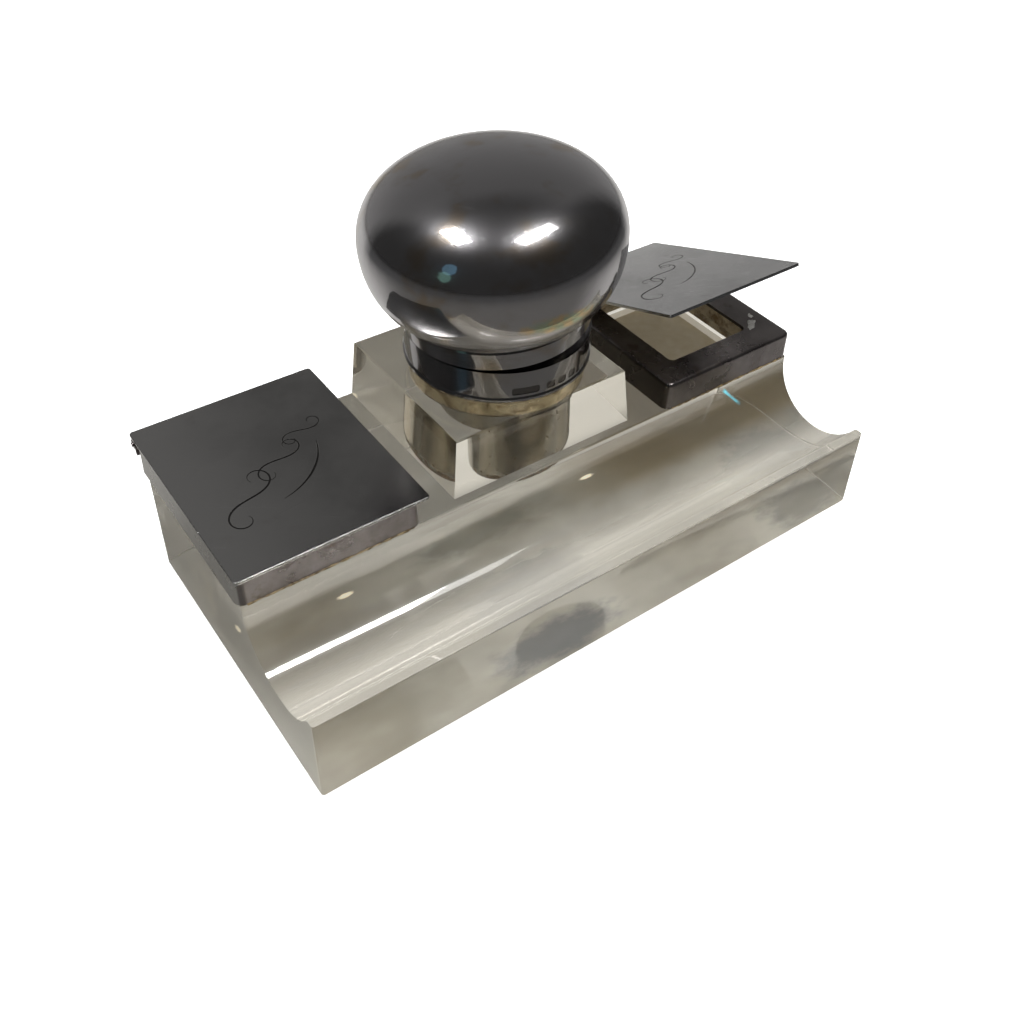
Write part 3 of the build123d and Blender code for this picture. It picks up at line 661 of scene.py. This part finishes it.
def build_cement():
    """Bead under the collar, and a line along the foot of each frame's front."""
    cement = dried_cement()
    centre = Vector((WELL_AXIS.x, WELL_AXIS.y, COLLAR_FOOT - 0.25 * MM))
    ring = ring_path(centre, COLLAR_BEAD_RADIUS, COLLAR_BEAD_POINTS)
    bead("collar_cement_bead", ring, closed=True, radius=0.36 * MM, unevenness=0.45, seed=3, material=cement)
    foot = BLOCK_TOP + 0.12 * MM
    for name, low, high, seed in (
        ("left_frame_cement_line", LEFT_FRAME_LOW, LEFT_FRAME_HIGH, 5),
        ("right_frame_cement_line", RIGHT_FRAME_LOW, RIGHT_FRAME_HIGH, 8),
    ):
        front = low.y - 0.08 * MM
        start = Vector((low.x + 2 * MM, front, foot))
        end = Vector((high.x - 2 * MM, front, foot))
        path = straight_path(start, end, FRAME_BEAD_POINTS, wander=0.05 * MM, seed=seed)
        bead(name, path, closed=False, radius=0.18 * MM, unevenness=0.6, seed=seed + 1, material=cement)


def build_glue():
    """Glue on top of the right frame, low enough for the lid to shut over it."""
    glue = white_glue()
    height = 0.04 * MM
    top = RIGHT_FRAME_HIGH.z
    for name, x, y, half_x, half_y, turn, seed in (
        ("frame_glue_smear", 70.6, -1.4, 2.6, 0.9, 0.6, 12),
        ("frame_glue_spot", 73.2, 1.6, 0.9, 0.6, 1.2, 14),
    ):
        smear(name, Vector((x * MM, y * MM, top)), half_x * MM, half_y * MM, height, turn, seed, glue)


# ---- studio ----

def table_light(nodes, near):
    """Painted light: how brightly the table glows through the glass, with painted shade under the metal at
    the back of the block.
    """
    x, y, _ = nodes.split(nodes.place())
    ends = nodes.step(nodes.math("ABSOLUTE", x), 80 * MM, 75 * MM)
    under = nodes.times(ends, nodes.step(y, 42 * MM, 37 * MM))
    back = nodes.times(under, nodes.step(y, -24 * MM, -4 * MM))
    return nodes.times(near, nodes.math("SUBTRACT", 1.0, nodes.times(back, 0.72)))


def floor_material():
    """White to the camera. Metal sees a dim table, painted brighter behind the object, and glass sees a warm
    one that glows as painted light.
    """
    material, nodes, output = new_material("floor")
    # Painted light on the table for reflections: brighter near the object, behind it and toward the lit
    # wall.
    near = nodes.step(nodes.length(nodes.place()), TABLE_FAR, TABLE_NEAR)
    heading = nodes.vector("NORMALIZE", nodes.place())
    behind = nodes.step(nodes.dot(heading, AWAY_FROM_CAMERA), -0.35, 0.5)
    close = nodes.mix(behind, (0.18, 0.175, 0.165), (0.62, 0.61, 0.59))
    by_wall = nodes.step(nodes.dot(heading, WALL_HEADING), 0.50, 0.76)
    distant = nodes.mix(by_wall, (0.11, 0.11, 0.11), (0.76, 0.75, 0.73))
    in_metal = nodes.mix(near, distant, close)
    in_glass = nodes.mix(near, (0.04, 0.04, 0.04), (0.18, 0.175, 0.165))
    mirrored = nodes.mix(nodes.ray("Is Singular Ray"), in_metal, in_glass)
    bright = nodes.mix(near, (0.45, 0.445, 0.42), (0.80, 0.78, 0.73))
    warm = nodes.mix(nodes.ray("Is Glossy Ray"), bright, mirrored)
    table = nodes.surface(Base_Color=warm, Roughness=0.9, Specular_IOR_Level=0.1)
    # Painted light: glass rays see the table glow, with painted shade under the metal.
    lit = nodes.times(table_light(nodes, near), nodes.ray("Is Transmission Ray"))
    seen_through = nodes.fill("ShaderNodeEmission", (0.62, 0.60, 0.555), lit)
    table = nodes.both(table, seen_through.outputs[0])
    pale = nodes.mix(nodes.noise(14.0, 3.0), (0.90, 0.90, 0.90), (0.93, 0.93, 0.93))
    sheet = nodes.surface(Base_Color=pale, Roughness=0.9, Specular_IOR_Level=0.1)
    glow = nodes.fill("ShaderNodeEmission", (1.0, 1.0, 1.0), 0.62)
    white = nodes.both(glow.outputs[0], sheet)
    nodes.put(output.inputs["Surface"], nodes.blend(nodes.ray("Is Camera Ray"), table, white))
    return material


def build_floor():
    bpy.ops.mesh.primitive_plane_add(size=FLOOR_SIZE, location=(0.0, 0.0, FLOOR_HEIGHT))
    floor = bpy.context.object
    floor.name = "studio_floor"
    floor.data.materials.append(floor_material())


def build_world():
    """Dark room with a lit wall behind the object. Glass gets more light, and the camera sees white."""
    world = bpy.data.worlds.new("room")
    bpy.context.scene.world = world
    world.use_nodes = True
    nodes = Nodes(world.node_tree)
    output = nodes.add("ShaderNodeOutputWorld")
    x, y, rise = nodes.split(nodes.add("ShaderNodeTexCoord").outputs["Generated"])
    heading = nodes.vector("NORMALIZE", nodes.join(x, y, 0.0))
    wide = nodes.step(nodes.dot(heading, WALL_HEADING), 0.50, 0.76)
    fade = nodes.step(rise, 0.80, 0.0)
    top = nodes.step(rise, 0.90, 0.72)
    wall = nodes.times(wide, nodes.times(top, nodes.plus(nodes.times(fade, 0.18), 0.095)))
    level = nodes.plus(nodes.plus(wall, 0.045), nodes.times(nodes.ray("Is Diffuse Ray"), 0.22))
    away = nodes.step(nodes.dot(heading, TOWARD_CAMERA), 0.85, 0.1)
    open_side = nodes.math("MAXIMUM", away, nodes.step(rise, 0.6, 0.9))
    through = nodes.times(nodes.ray("Is Transmission Ray"), open_side)
    level = nodes.plus(level, nodes.times(through, 1.15))
    room = nodes.fill("ShaderNodeBackground", (1.0, 0.985, 0.965), level)
    white = nodes.fill("ShaderNodeBackground", (1.0, 1.0, 1.0), 1.0)
    seen = nodes.blend(nodes.ray("Is Camera Ray"), room.outputs[0], white.outputs[0])
    nodes.put(output.inputs["Surface"], seen)


def area_light(name, direction, width, depth, watts, turn, shift=0.0):
    """Window that faces the ink lid, turned in degrees and shifted along its own width toward +X."""
    light = bpy.data.lights.new(name, "AREA")
    light.shape = "RECTANGLE"
    light.size = width
    light.size_y = depth
    light.energy = watts
    lamp = bpy.data.objects.new(name, light)
    bpy.context.scene.collection.objects.link(lamp)
    away = Vector(direction).normalized()
    spin = Quaternion((0.0, 0.0, 1.0), math.radians(turn))
    lamp.location = Vector((WELL_AXIS.x, WELL_AXIS.y, INK_LID_HEIGHT)) + away * WINDOW_DISTANCE
    lamp.rotation_mode = "QUATERNION"
    lamp.rotation_quaternion = away.to_track_quat("Z", "Y") @ spin
    sideways = lamp.rotation_quaternion @ Vector((1.0, 0.0, 0.0))
    lamp.location += sideways * math.copysign(shift, shift * sideways.x)
    return light


def build_lights():
    """Two windows, the right one with a shaded pane, and two dim coloured glows that show in the dome."""
    left = (-0.30, 0.235, 0.925)
    right = (0.245, -0.18, 0.953)
    area_light("left_window", left, width=0.33, depth=0.17, watts=6.3, turn=20)
    area_light("right_window", right, width=0.33, depth=0.18, watts=6.2, turn=-35, shift=-0.065)
    area_light("right_window_shaded_pane", right, width=0.13, depth=0.18, watts=0.45, turn=-35, shift=0.165)
    for name, direction, colour in (
        ("blue_screen", (-0.815, -0.190, 0.547), (0.30, 0.68, 1.0)),
        ("green_screen", (-0.917, -0.214, 0.337), (0.42, 0.90, 0.80)),
    ):
        screen = area_light(name, direction, width=0.19, depth=0.34, watts=0.06, turn=10)
        screen.shape = "ELLIPSE"
        screen.color = colour


def build_camera():
    camera = bpy.data.objects.new("camera", bpy.data.cameras.new("camera"))
    bpy.context.scene.collection.objects.link(camera)
    camera.data.lens = LENS
    camera.data.sensor_width = SENSOR
    camera.data.clip_start = 0.01
    level = math.cos(VIEW_DROP)
    forward = Vector((math.sin(VIEW_TURN) * level, math.cos(VIEW_TURN) * level, -math.sin(VIEW_DROP)))
    roll = Quaternion((0.0, 0.0, 1.0), VIEW_ROLL)
    camera.location = VIEW_TARGET - forward * VIEW_DISTANCE
    camera.rotation_mode = "QUATERNION"
    camera.rotation_quaternion = forward.to_track_quat("-Z", "Y") @ roll
    bpy.context.scene.camera = camera


finish_nodes()
build_cement()
build_glue()
build_floor()
build_world()
build_lights()
build_camera()
bpy.context.scene.view_settings.view_transform = "Standard"
